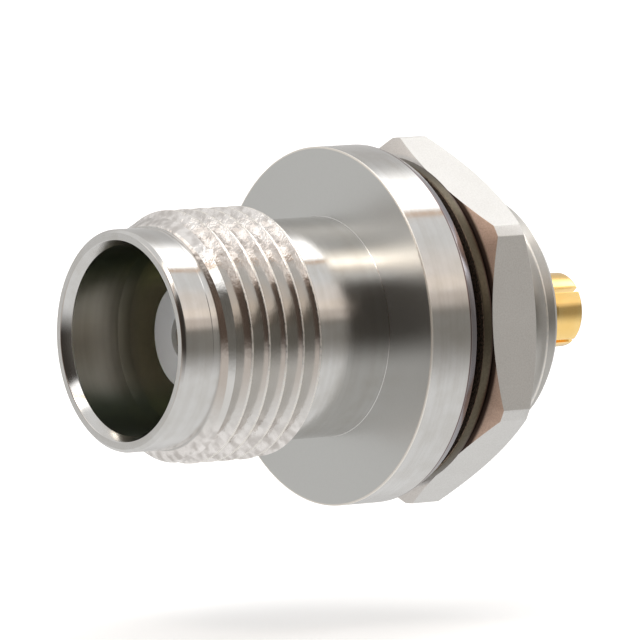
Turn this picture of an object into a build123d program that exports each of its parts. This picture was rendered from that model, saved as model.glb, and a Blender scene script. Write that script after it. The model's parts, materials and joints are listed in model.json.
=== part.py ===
"""Panel-mounted coaxial adapter: a threaded jack at the front, a small push-on plug at the rear.

Millimetres. The coaxial axis is Y: the jack's mouth looks along -Y and the plug along +Y, with +Z up.
The origin is on the axis at the flange's rear face, which is the face that meets the panel.
Each turned piece is one profile of (radius, y) corners, turned about Y.
"""
import math
import os

from build123d import *

# Coupling thread and panel thread: 7/16-28, right-handed, here as cylinders of the thread's outside size
THREAD_R = 5.53
THREAD_DEPTH = 0.68

# Jack end of the body, y measured along the axis
MOUTH_Y = -13.60
NOSE_R = 4.84
NOSE_BEVEL = 0.15
LIP_R = 4.40
LIP_CONE_DEPTH = 0.40
ENTRY_R = 4.13
ENTRY_END_Y = -10.75
BORE_CONE_LENGTH = 0.60
BORE_R = 4.05
CONTACT_PLANE_Y = -5.20
JACK_THREAD_START_Y = -12.05
JACK_THREAD_LEAD_Y = 1.20
JACK_THREAD_END_Y = -6.35
JACK_THREAD_REAR_Y = 0.40

# Flange with its seal groove
FLANGE_R = 7.90
FLANGE_THICKNESS = 2.60
FLANGE_REAR_BEVEL_Y = 0.44
FLANGE_REAR_BEVEL_R = 0.20
NECK_FILLET = 0.05
SEAL_GROOVE_WIDTH = 2.20
SEAL_GROOVE_DEPTH = 0.80
UNDERCUT_DEPTH = 0.05
UNDERCUT_END_Y = 0.60

# Threaded bushing behind the flange
BUSHING_END_Y = 6.62

# Insides of the body
INNER_BORE_R = 3.25
REAR_BORE_START_Y = -1.00
REAR_BORE_R = 3.90

# Seal ring between the flange and the washer
SEAL_SECTION = 1.45
SEAL_CLEARANCE = 0.05
SEAL_SIDES = 12

# Washer and nut
WASHER_Y = 0.70
WASHER_THICKNESS = 0.50
WASHER_R = 7.30
WASHER_RIM = 0.85
WASHER_TEETH = 12
WASHER_TOOTH_SHARE = 0.60
NUT_THICKNESS = 2.60
NUT_ACROSS_FLATS = 14.29
NUT_CORNER_R = 8.10
NUT_FACE_R = 6.93
NUT_FRONT_CHAMFER_DEG = 25.0
NUT_REAR_CHAMFER_DEG = 28.0
NUT_TURN_DEG = 3.4
NUT_BORE_CHAMFER = 0.35
THREAD_CLEARANCE = 0.06

# Fits between pieces inside the body
FIT_GAP = 0.02

# Front insulator and the jack's socket contact
DIELECTRIC_FACE_Y = -10.05
DIELECTRIC_R = 2.37
SOCKET_R = 1.05
SOCKET_FRONT_Y = -9.85
SOCKET_HOLE_R = 0.67
SOCKET_HOLE_DEPTH = 4.20
SOCKET_SLOT_COUNT = 4
SOCKET_SLOT_TURN_DEG = 45.0
SOCKET_SLOT_LENGTH = 3.20
SOCKET_SLOT_WIDTH = 0.20
SOCKET_COLLAR_R = 1.45
SOCKET_COLLAR_LENGTH = 0.80
SOCKET_TIP_CHAMFER = 0.15

# Transition bush pressed into the bushing's rear bore
BUSH_FRONT_WALL = 2.20
BUSH_FRONT_HOLE_R = 2.05
BUSH_REAR_Y = 6.20
BUSH_BORE_R = 2.30
BUSH_BEVEL = 0.20

# Plug end
PLUG_END_Y = 10.57
PLUG_SLEEVE_R = 1.57
PLUG_RIDGE_R = 1.65
PLUG_RIDGE_START = 1.90
PLUG_RIDGE_SLOPE = 0.55
PLUG_TIP_BEVEL = 0.12
PLUG_BORE_R = 1.25
PLUG_COLLAR_R = 2.28
PLUG_COLLAR_END_Y = 6.90
PLUG_SLOT_COUNT = 4
PLUG_SLOT_WIDTH = 0.22
PLUG_SLOT_START_Y = 7.50
PLUG_SLOT_TURN_DEG = 37.5
PIN_R = 0.25
PIN_END_Y = 10.15
PIN_ROOT_DEPTH = 1.40
PIN_TIP = 0.20
REAR_INSULATOR_END_Y = 8.60


def turned(corners):
    """A solid turned about Y from (radius, y) corners given in order round the section."""
    section = make_face(Polyline(*[(radius, y) for radius, y in corners], close=True))
    return revolve(section, Axis.Y)


def ring(inner_r, outer_r, start_y, end_y):
    """A plain ring, or a disc where inner_r is 0."""
    return turned([(inner_r, start_y), (outer_r, start_y), (outer_r, end_y), (inner_r, end_y)])


def slots(count, width, reach, start_y, end_y, turn_deg):
    """Radial saw cuts round the axis, each from the axis out to reach."""
    cuts = []
    for index in range(count):
        angle = turn_deg + index * 360 / count
        blade = Pos(reach / 2, (start_y + end_y) / 2, 0) * Box(reach, end_y - start_y, width)
        cuts.append(Rot(0, -angle, 0) * blade)
    return cuts


def seal_groove_r():
    """Outer wall of the groove that holds the seal ring."""
    return THREAD_R - THREAD_DEPTH - UNDERCUT_DEPTH + SEAL_GROOVE_WIDTH


def connector_body():
    """Jack nose, coupling thread, neck, flange with seal groove, and threaded bushing, turned from one bar."""
    root_r = THREAD_R - THREAD_DEPTH
    undercut_r = root_r - UNDERCUT_DEPTH
    outside = [
        (NOSE_R - NOSE_BEVEL, MOUTH_Y),
        (NOSE_R, MOUTH_Y + NOSE_BEVEL),
        (NOSE_R, JACK_THREAD_START_Y),
        (THREAD_R, JACK_THREAD_START_Y + JACK_THREAD_LEAD_Y),
        (THREAD_R, JACK_THREAD_END_Y - JACK_THREAD_REAR_Y),
        (NOSE_R, JACK_THREAD_END_Y),
        (NOSE_R, -FLANGE_THICKNESS - NECK_FILLET),
        (NOSE_R + NECK_FILLET, -FLANGE_THICKNESS),
        (FLANGE_R, -FLANGE_THICKNESS),
        (FLANGE_R, -FLANGE_REAR_BEVEL_Y),
        (FLANGE_R - FLANGE_REAR_BEVEL_R, 0),
        (seal_groove_r(), 0),
        (seal_groove_r(), -SEAL_GROOVE_DEPTH),
        (undercut_r, -SEAL_GROOVE_DEPTH),
        (undercut_r, UNDERCUT_END_Y),
        (THREAD_R, UNDERCUT_END_Y + THREAD_DEPTH),
        (THREAD_R, BUSHING_END_Y - THREAD_DEPTH),
        (root_r, BUSHING_END_Y),
    ]
    inside = [
        (REAR_BORE_R, BUSHING_END_Y),
        (REAR_BORE_R, REAR_BORE_START_Y),
        (INNER_BORE_R, REAR_BORE_START_Y),
        (INNER_BORE_R, CONTACT_PLANE_Y),
        (BORE_R, CONTACT_PLANE_Y),
        (BORE_R, ENTRY_END_Y + BORE_CONE_LENGTH),
        (ENTRY_R, ENTRY_END_Y),
        (ENTRY_R, MOUTH_Y + LIP_CONE_DEPTH),
        (LIP_R, MOUTH_Y),
    ]
    return turned(outside + inside)


def front_insulator():
    """Slim nose that stands in the jack's bore, and a wider root held in the inner bore."""
    shoulder_r = INNER_BORE_R - FIT_GAP
    pocket_y = REAR_BORE_START_Y - SOCKET_COLLAR_LENGTH
    hole_r = SOCKET_R + FIT_GAP
    pocket_r = SOCKET_COLLAR_R + FIT_GAP
    return turned([
        (hole_r, DIELECTRIC_FACE_Y),
        (DIELECTRIC_R, DIELECTRIC_FACE_Y),
        (DIELECTRIC_R, CONTACT_PLANE_Y),
        (shoulder_r, CONTACT_PLANE_Y),
        (shoulder_r, REAR_BORE_START_Y),
        (pocket_r, REAR_BORE_START_Y),
        (pocket_r, pocket_y),
        (hole_r, pocket_y),
    ])


def socket_contact():
    """Slotted socket at the front, collar behind it, and a blind hole in the rear for the plug's pin."""
    rear_y = REAR_BORE_START_Y
    collar_y = rear_y - SOCKET_COLLAR_LENGTH
    blank = turned([
        (0, SOCKET_FRONT_Y),
        (SOCKET_R - SOCKET_TIP_CHAMFER, SOCKET_FRONT_Y),
        (SOCKET_R, SOCKET_FRONT_Y + SOCKET_TIP_CHAMFER),
        (SOCKET_R, collar_y),
        (SOCKET_COLLAR_R, collar_y),
        (SOCKET_COLLAR_R, rear_y),
        (0, rear_y),
    ])
    socket = ring(0, SOCKET_HOLE_R, SOCKET_FRONT_Y, SOCKET_FRONT_Y + SOCKET_HOLE_DEPTH)
    pin_hole = ring(0, PIN_R, rear_y - PIN_ROOT_DEPTH, rear_y)
    slot_end = SOCKET_FRONT_Y + SOCKET_SLOT_LENGTH
    contact = blank - socket - pin_hole
    for cut in slots(SOCKET_SLOT_COUNT, SOCKET_SLOT_WIDTH, 2 * SOCKET_R, SOCKET_FRONT_Y, slot_end,
                     SOCKET_SLOT_TURN_DEG):
        contact -= cut
    return contact


def pin_contact():
    """Thin pin of the plug, pressed into the rear of the socket contact."""
    root_y = REAR_BORE_START_Y - PIN_ROOT_DEPTH
    return turned([
        (0, root_y),
        (PIN_R, root_y),
        (PIN_R, PIN_END_Y - PIN_TIP),
        (PIN_R / 2, PIN_END_Y),
        (0, PIN_END_Y),
    ])


def transition_bush():
    """Cup pressed into the rear bore: it holds the front insulator in and carries the plug's contact."""
    outer_r = REAR_BORE_R - FIT_GAP
    wall_end_y = REAR_BORE_START_Y + BUSH_FRONT_WALL
    return turned([
        (BUSH_FRONT_HOLE_R, REAR_BORE_START_Y),
        (outer_r, REAR_BORE_START_Y),
        (outer_r, BUSH_REAR_Y - BUSH_BEVEL),
        (outer_r - BUSH_BEVEL, BUSH_REAR_Y),
        (BUSH_BORE_R, BUSH_REAR_Y),
        (BUSH_BORE_R, wall_end_y),
        (BUSH_FRONT_HOLE_R, wall_end_y),
    ])


def rear_insulator():
    """Tube round the pin, with a head in the bush's front wall and a slim stretch out into the plug."""
    hole_r = PIN_R + FIT_GAP
    head_r = BUSH_FRONT_HOLE_R - FIT_GAP
    tube_r = PLUG_BORE_R - FIT_GAP
    head_end_y = REAR_BORE_START_Y + BUSH_FRONT_WALL
    return turned([
        (hole_r, REAR_BORE_START_Y),
        (head_r, REAR_BORE_START_Y),
        (head_r, head_end_y),
        (tube_r, head_end_y),
        (tube_r, REAR_INSULATOR_END_Y),
        (hole_r, REAR_INSULATOR_END_Y),
    ])


def plug_outer_contact():
    """Gold-plated spring sleeve with a snap ridge, slotted into fingers, on a collar pressed in the bush."""
    collar_start_y = REAR_BORE_START_Y + BUSH_FRONT_WALL
    ridge_y = PLUG_END_Y - PLUG_RIDGE_START
    sleeve = turned([
        (PLUG_BORE_R, collar_start_y),
        (PLUG_COLLAR_R, collar_start_y),
        (PLUG_COLLAR_R, PLUG_COLLAR_END_Y),
        (PLUG_SLEEVE_R, PLUG_COLLAR_END_Y),
        (PLUG_SLEEVE_R, ridge_y),
        (PLUG_RIDGE_R, ridge_y + PLUG_RIDGE_SLOPE),
        (PLUG_RIDGE_R, PLUG_END_Y - PLUG_TIP_BEVEL),
        (PLUG_RIDGE_R - PLUG_TIP_BEVEL, PLUG_END_Y),
        (PLUG_BORE_R, PLUG_END_Y),
    ])
    for cut in slots(PLUG_SLOT_COUNT, PLUG_SLOT_WIDTH, 2 * PLUG_RIDGE_R, PLUG_SLOT_START_Y, PLUG_END_Y,
                     PLUG_SLOT_TURN_DEG):
        sleeve -= cut
    return sleeve


def panel_seal():
    """Seal ring of round section that sits on the floor of the flange's groove, close to its outer wall."""
    radius = SEAL_SECTION / 2
    ring_r = seal_groove_r() - SEAL_CLEARANCE - radius
    section = Pos(ring_r, radius - SEAL_GROOVE_DEPTH) * RegularPolygon(radius, SEAL_SIDES)
    return revolve(section, Axis.Y)


def lock_washer():
    """Flat washer with teeth on the inside."""
    bore_r = THREAD_R + THREAD_CLEARANCE
    rim_r = WASHER_R - WASHER_RIM
    washer = ring(bore_r, WASHER_R, WASHER_Y, WASHER_Y + WASHER_THICKNESS)
    step = 360 / WASHER_TEETH
    notch_width = 2 * rim_r * math.sin(math.radians(step * (1 - WASHER_TOOTH_SHARE) / 2))
    for cut in slots(WASHER_TEETH, notch_width, rim_r, WASHER_Y, WASHER_Y + WASHER_THICKNESS, step / 2):
        washer -= cut
    return washer


def hex_nut():
    """Hexagon from a turned blank: its corners are cut round, and both faces are chamfered."""
    front_y = WASHER_Y + WASHER_THICKNESS
    rear_y = front_y + NUT_THICKNESS
    front_drop = (NUT_CORNER_R - NUT_FACE_R) * math.tan(math.radians(NUT_FRONT_CHAMFER_DEG))
    rear_drop = (NUT_CORNER_R - NUT_FACE_R) * math.tan(math.radians(NUT_REAR_CHAMFER_DEG))
    bore_r = THREAD_R + THREAD_CLEARANCE
    blank = turned([
        (bore_r + NUT_BORE_CHAMFER, front_y),
        (NUT_FACE_R, front_y),
        (NUT_CORNER_R, front_y + front_drop),
        (NUT_CORNER_R, rear_y - rear_drop),
        (NUT_FACE_R, rear_y),
        (bore_r + NUT_BORE_CHAMFER, rear_y),
        (bore_r, rear_y - NUT_BORE_CHAMFER),
        (bore_r, front_y + NUT_BORE_CHAMFER),
    ])
    outline = Plane.XZ.offset(-front_y) * RegularPolygon(NUT_ACROSS_FLATS / 2, 6, major_radius=False)
    prism = extrude(outline, -NUT_THICKNESS)
    # A polygon's first corner lies on X, and the nut's flats face X before it is turned
    return blank & (Rot(0, -30 - NUT_TURN_DEG, 0) * prism)


PIECES = {
    "connector_body": connector_body,
    "front_insulator": front_insulator,
    "socket_contact": socket_contact,
    "pin_contact": pin_contact,
    "transition_bush": transition_bush,
    "rear_insulator": rear_insulator,
    "plug_outer_contact": plug_outer_contact,
    "panel_seal": panel_seal,
    "lock_washer": lock_washer,
    "hex_nut": hex_nut,
}

os.makedirs("parts", exist_ok=True)
for name, make in PIECES.items():
    piece = make()
    piece.label = name
    export_step(piece, f"parts/{name}.step")
    print(name, round(piece.volume, 3))
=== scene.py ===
"""Looks of the panel-mounted coaxial adapter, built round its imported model.

Sizes are in millimetres and turn into metres where a mesh is made. The coaxial axis is Y: the jack's mouth
looks along -Y and the plug along +Y, with +Z up and the origin at the flange's rear face.
"""
import json
import math

import bmesh
import bpy
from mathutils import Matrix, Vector


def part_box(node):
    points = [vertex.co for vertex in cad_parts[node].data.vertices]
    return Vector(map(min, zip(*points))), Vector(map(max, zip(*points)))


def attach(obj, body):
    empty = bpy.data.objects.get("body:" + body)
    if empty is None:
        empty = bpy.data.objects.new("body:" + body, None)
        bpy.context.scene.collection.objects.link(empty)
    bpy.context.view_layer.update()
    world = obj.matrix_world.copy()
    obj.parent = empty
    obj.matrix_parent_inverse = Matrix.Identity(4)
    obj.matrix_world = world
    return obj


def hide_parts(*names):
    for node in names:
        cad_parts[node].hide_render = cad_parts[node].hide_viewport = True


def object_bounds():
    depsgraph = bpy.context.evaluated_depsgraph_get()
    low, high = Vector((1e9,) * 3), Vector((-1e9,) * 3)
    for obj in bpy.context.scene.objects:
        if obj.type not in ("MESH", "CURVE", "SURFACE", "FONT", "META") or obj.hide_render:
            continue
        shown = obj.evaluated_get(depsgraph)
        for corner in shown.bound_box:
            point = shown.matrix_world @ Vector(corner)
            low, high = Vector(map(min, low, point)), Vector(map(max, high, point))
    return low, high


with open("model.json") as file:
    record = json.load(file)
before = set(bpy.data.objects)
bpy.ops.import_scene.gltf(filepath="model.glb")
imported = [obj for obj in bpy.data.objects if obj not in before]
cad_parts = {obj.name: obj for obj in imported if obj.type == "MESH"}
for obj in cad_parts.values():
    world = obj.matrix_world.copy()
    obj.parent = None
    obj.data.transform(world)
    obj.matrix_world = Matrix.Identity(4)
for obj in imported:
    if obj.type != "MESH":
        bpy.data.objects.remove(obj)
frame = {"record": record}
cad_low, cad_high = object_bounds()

MM = 0.001
TINY = 1e-6


def reach(node):
    """Outer radius, front end and rear end of a node turned about the axis."""
    low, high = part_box(node)
    return high.x / MM, low.y / MM, high.y / MM


def mount(name):
    """A stated interface: its radius, and the ends of its wall along the axis."""
    stated = next(m for m in frame["record"]["mounts"] if m["name"] == name)
    middle = stated["pos_m"][1] / MM
    half = stated["dims"]["length_mm"] / 2
    return stated["dims"]["r_mm"], middle - half, middle + half


# Sizes that the frame gives
FLANGE_R, MOUTH_Y, BUSHING_END_Y = reach("connector_body")
THREAD_R, JACK_CREST_START_Y, JACK_CREST_END_Y = mount("coupling_thread")
ENTRY_R, ENTRY_START_Y, ENTRY_END_Y = mount("jack_bore")
INSULATOR_ROOT_R, DIELECTRIC_FACE_Y, REAR_BORE_START_Y = reach("front_insulator")
SOCKET_COLLAR_R, SOCKET_FRONT_Y, SOCKET_REAR_Y = reach("socket_contact")
BUSH_R, BUSH_FRONT_Y, BUSH_REAR_Y = reach("transition_bush")
PLUG_COLLAR_R, PLUG_START_Y, PLUG_END_Y = reach("plug_outer_contact")
PLUG_RIDGE_R, PLUG_RIDGE_START_Y = mount("push_on_plug")[:2]
PIN_R, PIN_START_Y, PIN_END_Y = reach("pin_contact")
REAR_INSULATOR_HEAD_R, REAR_INSULATOR_START_Y, REAR_INSULATOR_END_Y = reach("rear_insulator")
SEAL_R, SEAL_FRONT_Y, SEAL_REAR_Y = reach("panel_seal")
WASHER_R, WASHER_FRONT_Y, WASHER_REAR_Y = reach("lock_washer")
NUT_FRONT_Y, NUT_REAR_Y = (corner.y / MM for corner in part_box("hex_nut"))
NUT_CORNER_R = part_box("hex_nut")[1].z / MM

# Threads, 7/16-28 and right-handed
THREAD_PITCH = 25.4 / 28
THREAD_DEPTH = 0.68
THREAD_ROOT_FLAT = 0.02
THREAD_FLANK_DEG = 30.0
CREST_ROUNDING = 0.04
# The crest's rounded corner, in shares of its rounding: how far below the crest, and how far past the flank
CREST_ARC = ((1.0, 0.0), (0.35, 0.6), (0.0, 1.1))
CREST_FLARE = 1.2
JACK_THREAD_LEAD_Y = 1.20
JACK_THREAD_REAR_Y = 0.40
JACK_CREST_Y = -11.34
BUSHING_CREST_Y = 5.58
CUTTER_OVERSHOOT = 0.10
# Lead of the jack's thread: length cleared in front of it, and turns before and after the +X side
LEAD_CLEARED = 0.70
LEAD_BEFORE = 0.42
LEAD_AFTER = 0.39
LEAD_FLANK_SHIFT = 0.13
LEAD_ROOT_GAP = 0.003

# Body, outside
NOSE_R = 4.84
NOSE_BEVEL = 0.15
LIP_R = 4.40
FLANGE_THICKNESS = 2.60
FLANGE_REAR_BEVEL_Y = 0.44
FLANGE_REAR_BEVEL_R = 0.20
NECK_FILLET = 0.02
NOSE_ROUNDING = 0.09
THREAD_START_ROUNDING = 0.10
FLANGE_BEVEL_ROUNDING = 0.10
SEAL_GROOVE_R = 7.00
SEAL_GROOVE_DEPTH = 0.80
UNDERCUT_DEPTH = 0.05
UNDERCUT_END_Y = 0.60

# Body, inside
BORE_R = 4.05
BORE_CONE_LENGTH = 0.60
CONTACT_PLANE_Y = -5.20
FIT_GAP = 0.02

# Insulators and contacts
DIELECTRIC_R = 2.37
SOCKET_R = 1.05
SOCKET_HOLE_R = 0.67
SOCKET_HOLE_DEPTH = 4.20
SOCKET_COLLAR_LENGTH = 0.80
SOCKET_SLOT_LENGTH = 3.20
SOCKET_SLOT_WIDTH = 0.20
SOCKET_SLOT_TURN_DEG = 45.0
SOCKET_TIP_ROUNDING = 0.14
PIN_TAPER_LENGTH = 0.20
BUSH_FRONT_WALL = 2.20
BUSH_BORE_R = 2.30
BUSH_BEVEL = 0.20
PLUG_SLEEVE_R = 1.57
PLUG_BORE_R = 1.25
PLUG_COLLAR_END_Y = 6.90
PLUG_RIDGE_SLOPE = 0.55
PLUG_SLOT_START_Y = 7.50
PLUG_SLOT_WIDTH = 0.22
PLUG_SLOT_TURN_DEG = 37.5
PLUG_TIP_ROUNDING = 0.12
SLOT_COUNT = 4
BLADE_INNER_R = 0.30
CUT_PAST = 1.0
SEAL_STEPS = 32

# Washer and nut
WASHER_RIM = 0.85
WASHER_TEETH = 12
WASHER_TOOTH_SHARE = 0.60
THREAD_CLEARANCE = 0.06
NUT_ACROSS_FLATS = 14.29
NUT_FACE_R = 6.93
NUT_FRONT_CHAMFER_DEG = 25.0
NUT_REAR_CHAMFER_DEG = 28.0
NUT_TURN_DEG = 3.4
NUT_BORE_CHAMFER = 0.35
NUT_SIDES = 6

# Roundings of turned edges, from the smallest, and the bevel on cut ones
SHARP = 0
CRISP = 0.02
BROKEN = 0.03
EASED = 0.04
SOFT = 0.05
ROUND = 0.06
BLUNT = 0.08
CUT_BEVEL = 0.02

# Colours and gloss of the body's steel
STEEL = (0.61, 0.60, 0.585, 1)
STEEL_STAIN = (0.57, 0.555, 0.53, 1)
STEEL_STREAK = (0.50, 0.48, 0.45, 1)
FACE_LIGHT = (0.60, 0.60, 0.585, 1)
FACE_DARK = (0.55, 0.55, 0.535, 1)
BORE_LIGHT = (0.66, 0.62, 0.54, 1)
BORE_DARK = (0.60, 0.56, 0.48, 1)
# Painted light deeper in the bore, and painted shade on its entry cone and at its top and bottom
BORE_DEPTH_PAINTED_LIGHT = (0.92, 0.85, 0.66, 1)
BORE_CONE_PAINTED_SHADE = (0.52, 0.49, 0.40, 1)
BORE_SHADE = (0.28, 0.34, 0.28, 1)
# Painted light: the thread's steel is lighter, for the light that bounces between its turns
THREAD_PAINTED_LIGHT = (0.70, 0.68, 0.65, 1)
# Torn patches on the thread, partly painted glints and shade
TORN_AND_GLINT_LIGHT = (0.86, 0.82, 0.79, 1)
TORN_AND_GLINT_DARK = (0.56, 0.52, 0.49, 1)
# Worn crests and flange edge, partly a painted highlight
WORN_AND_HIGHLIT_EDGE = (0.84, 0.80, 0.74, 1)
# Painted shade on the flange's rear bevel, and the darker painted line in front of it
BEVEL_PAINTED_SHADE = (0.27, 0.25, 0.27, 1)
BEVEL_LINE_PAINTED_SHADE = (0.16, 0.11, 0.11, 1)
BODY_ROUGHNESS = 0.15
THREAD_ROUGHNESS = 0.15
FACE_ROUGHNESS = 0.28
BUSHING_ROUGHNESS = 0.30
BORE_ROUGHNESS = 0.29
WORN_ROUGHNESS = 0.50
ROUGHNESS_SPREAD = 0.05
PLAIN_SPREAD = 0.06
BODY_ANISOTROPY = 0.5
BODY_RELIEF_MM = 0.0008

# Strength of the body's marks, as shares
STREAK_STRENGTH = 0.30
THREAD_PAINTED_LIGHT_STRENGTH = 0.5
TORN_AND_GLINT_STRENGTH = 0.85
BORE_SHADE_STRENGTH = 0.9
COARSE_RELIEF = 0.6
SCRATCH_RELIEF = 0.25
BUSHING_EVENNESS = 0.8
BORE_RELIEF = 0.3
TORN_RELIEF = (5.0, 45.0)

# Where the body's looks change: start and end of each blend along Y, from the axis (R) or up and down (Z)
FACE_BLEND_Y = (-FLANGE_THICKNESS - 0.30, -FLANGE_THICKNESS - 0.20)
BUSHING_BLEND_Y = (0.40, 0.80)
BORE_BLEND_R = (LIP_R - 0.16, LIP_R - 0.06)
BORE_MOUTH_BLEND_Y = (MOUTH_Y + 0.35, MOUTH_Y + 0.50)
BORE_END_BLEND_Y = (-FLANGE_THICKNESS, 0.0)
BORE_DEEP_BLEND_Y = (ENTRY_END_Y + 0.20, ENTRY_END_Y + 1.20)
BORE_CONE_EDGE = 0.06
BORE_SHADE_BLEND_Z = (1.90, 3.40)
THREAD_BLEND_R = (NOSE_R + 0.03, NOSE_R + 0.08)
THREAD_END_BLEND_Y = (JACK_CREST_END_Y + 0.50, JACK_CREST_END_Y + 0.80)
TORN_AND_GLINT_BLEND_Z = (2.60, 4.60)
TORN_RELIEF_BLEND_Z = (2.20, 4.80)
CREST_BAND_R = (THREAD_R - 0.02, THREAD_R + 0.03)
CREST_BAND_EDGES = (0.012, 0.020)
OFF_FLANGE_BLEND_Y = (FLANGE_THICKNESS / 2 + 0.20, FLANGE_THICKNESS / 2 + 0.50)
FRONT_EDGE_BLEND_R = (FLANGE_R - 0.10, FLANGE_R - 0.05)
FRONT_EDGE_BLEND_Y = (0.05 - FLANGE_THICKNESS, 0.10 - FLANGE_THICKNESS)
BEVEL_BLEND_R = (FLANGE_R - 0.28, FLANGE_R - 0.22)
BEVEL_BLEND_Y = (0.02 - FLANGE_REAR_BEVEL_Y, 0.08 - FLANGE_REAR_BEVEL_Y)
BEVEL_LINE_Y = (-0.05 - FLANGE_REAR_BEVEL_Y, 0.03 - FLANGE_REAR_BEVEL_Y)
BEVEL_LINE_EDGE = 0.02

# The y of a face's normal, between which its looks change
FACE_FACING = (0.90, 0.97)
SKIN_AND_SHADE_FACING = (-0.75, -0.55)

# Values between which a noise blends
EVEN_NOISE = (0.30, 0.70)
BLOTCH_NOISE = (0.35, 0.70)
STREAK_NOISE = (0.35, 0.65)
PATCH_NOISE = (0.30, 0.66)
WEAR_AND_HIGHLIGHT_NOISE = (0.35, 0.60)
LEAST_WEAR_AND_HIGHLIGHT = 0.35

# Turning marks: how much the radius shifts them along, how little they vary round the axis, the radius
# inside which that no longer grows, and the quarter turn of their gloss
MARKS_SHIFT = 0.83
MARKS_VARIATION = 0.05
MARKS_INNER_R = 0.01
TANGENT_TURN = 0.25

# Colours of the nut, washer, contacts, insulators and seal
NUT_LIGHT = (0.76, 0.75, 0.73, 1)
NUT_DARK = (0.64, 0.625, 0.60, 1)
# Browner skin on the front faces of nut and washer, partly painted shade
NUT_SKIN_AND_SHADE = (0.66, 0.49, 0.39, 1)
SKIN_AND_SHADE_DARK = (0.54, 0.39, 0.31, 1)
# Painted shade where the washer and nut meet
JOINT_PAINTED_SHADE = (0.07, 0.045, 0.035, 1)
# The washer painted dark olive, for the shade it sits in and the dark parts it reflects; its skin likewise
SHADED_WASHER_LIGHT = (0.12, 0.10, 0.07, 1)
SHADED_WASHER_DARK = (0.075, 0.063, 0.044, 1)
SHADED_WASHER_SKIN = (0.10, 0.085, 0.06, 1)
GOLD = (1.0, 0.71, 0.29, 1)
GOLD_STAIN = (0.97, 0.65, 0.23, 1)
WORN_GOLD = (0.72, 0.64, 0.52, 1)
WORN_GOLD_STAIN = (0.60, 0.52, 0.42, 1)
WHITE = (0.58, 0.60, 0.63, 1)
WHITE_SHADE = (0.55, 0.56, 0.58, 1)
RUBBER = (0.025, 0.025, 0.025, 1)
RUBBER_DUST = (0.035, 0.034, 0.032, 1)

# Soft clouds in all metals, the browner skin on nut and washer, partly painted shade, and the painted shade
# where nut and washer meet
CLOUD_SHARE = 0.4
SKIN_AND_SHADE_BLEND_Z = (6.30, 7.30)
SKIN_AND_SHADE_AT_TOP = 0.15
JOINT_SHADE_BLEND_R = (0.02, 0.16)
JOINT_SHADE_BLEND_Y = 0.04
WASHER_JOINT_SHADE_WIDTH = 0.11

# How finely things are made
SEGMENTS = 192
FINE_SEGMENTS = 96
ARC_STEPS = 4
SETBACK_SHARE = 0.45
SMOOTH_DEG = 25.0

# Camera, with its place and clipping in metres, and the floor
CAMERA_AT = (0.32607, -0.24306, 0.03999)
CAMERA_LOOKS = (-0.80121, 0.59038, -0.09754)
SENSOR_MM = 36.0
FOCAL_PIXELS = 9271.0
FRAME_PIXELS = 640.0
CLIP_START = 0.01
CLIP_END = 20.0
FLOOR_DROP = 5.0
FLOOR_SPAN = 6000.0
FLOOR_COLOUR = (0.85, 0.85, 0.85, 1)
FLOOR_GLOW = 0.3

# Studio: its walls, and all else as colour factors on them
WALLS = (0.95, 0.95, 0.95, 1)
PLAIN_WHITE = (1, 1, 1, 1)
# Round patches: direction, angles from it where the patch is full and where it has gone, and factor
PATCHES = {
    "small lamp": ((0.42, -0.42, 0.80), 8, 13, (2.2, 2.2, 2.2, 1)),
    "front lamp": ((0.14, -0.59, 0.795), 5, 12, (3.2, 3.0, 2.72, 1)),
    "front fill": ((-0.42, -0.72, 0.56), 6, 15, (1.75, 1.70, 1.65, 1)),
    "far wall": ((-0.78, 0.59, 0.15), 15, 55, (0.68, 0.67, 0.66, 1)),
    "near wall": ((-0.80, -0.59, -0.10), 20, 50, (0.81, 0.805, 0.795, 1)),
    "front wall": ((0.0, -1.0, 0.05), 20, 48, (0.76, 0.69, 0.64, 1)),
    "warm wall": ((0.80, 0.40, 0.50), 12, 26, (1.14, 1.05, 0.98, 1)),
}

# Softbox overhead and the warm rim at its lower edge, in degrees of roll about the part's axis
SOFTBOX = (2.9, 2.9, 2.9, 1)
SOFTBOX_LEAN = 9.0
SOFTBOX_LOW = 77.0
SOFTBOX_LOW_EDGE = 1.5
SOFTBOX_WIDENS_Y = (-0.10, 0.45)
SOFTBOX_HIGH = (84.0, 106.0)
SOFTBOX_HIGH_EDGE = (8.0, 16.0)
SOFTBOX_RIM = (0.85, 0.62, 0.45, 1)
SOFTBOX_RIM_BAND = (71.0, 75.5)
SOFTBOX_RIM_EDGE = 1.0

# Warm strip and the brown edge under it at the right, in degrees of roll
RIGHT_BEARING = (-15.0, 10.0)
WARM_STRIP = (1.10, 1.06, 1.01, 1)
WARM_STRIP_BAND = (25.0, 34.0)
WARM_STRIP_EDGES = (1.5, 3.0)
BROWN_EDGE = (0.74, 0.705, 0.67, 1)
BROWN_EDGE_BAND = (11.0, 24.0)
BROWN_EDGE_EDGES = (4.0, 2.0)

# Dark belt from the front round to the right: colours by bearing, and heights in degrees above the horizon
BELT_AT_FRONT = (0.160, 0.125, 0.105, 1)
BELT_AT_CAMERA = (0.060, 0.052, 0.046, 1)
BELT_BETWEEN = (0.22, 0.21, 0.19, 1)
BELT_AT_RIGHT = (0.36, 0.345, 0.32, 1)
BELT_STARTS = (-128.0, -98.0)
FRONT_COLOUR_ENDS = (-85.0, -55.0)
FRONT_ENDS = (-80.0, -50.0)
CAMERA_COLOUR_ENDS = (-38.0, -20.0)
CAMERA_TO_RIGHT = (-20.0, 34.0)
BELT_EDGE_NARROWS = (-20.0, 30.0)
RIGHT_COLOUR_STARTS = (20.0, 42.0)
BELT_ENDS = (100.0, 135.0)
BELT_TOP_AT_FRONT = 24.0
BELT_TOP_AT_CAMERA = 42.0
BELT_TOP_AT_RIGHT = 11.0
BELT_TOP_EDGE = (4.0, 3.0)
BELT_FOOT = (-34.0, -4.0)
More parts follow.
